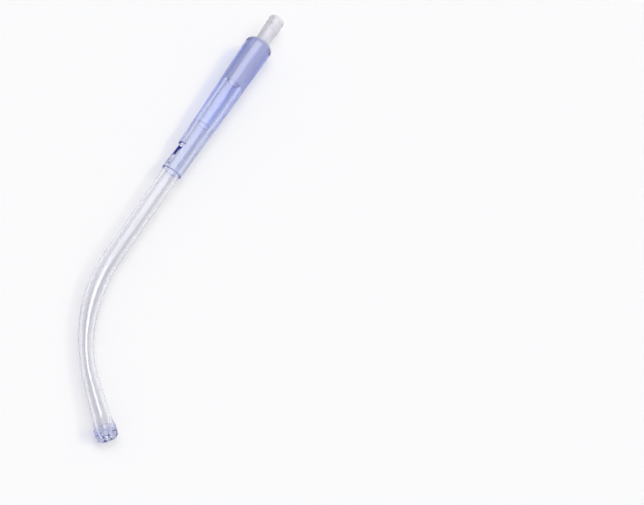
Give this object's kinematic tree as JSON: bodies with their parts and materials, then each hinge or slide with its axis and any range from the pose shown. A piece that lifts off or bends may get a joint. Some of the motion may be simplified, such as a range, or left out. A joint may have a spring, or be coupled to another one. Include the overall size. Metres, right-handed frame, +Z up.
{
  "type": "yankauer suction tip",
  "caption": "Rigid curved suction tip with a tinted tapered handle, clear bent shaft, crowned open tip, thumb vent and barbed tubing connector.",
  "frame": {"origin": "middle of the footprint, on the table that the tip lies on", "axes": "+X along the handle towards the patient end, +Z up from the table; the shaft bends towards +Y"},
  "size_m": [0.2596, 0.0658, 0.0164],
  "materials": {
    "tinted_handle": "see-through violet-blue, polished",
    "clear_shaft": "crystal clear, polished",
    "tinted_tip": "see-through violet-blue, polished",
    "frosted_connector": "natural, cloudy, satin"
  },
  "bodies": {
    "root": {"handle": "tinted_handle", "shaft": "clear_shaft", "tip": "tinted_tip", "tubing_connector": "frosted_connector"}
  },
  "joints": []
}
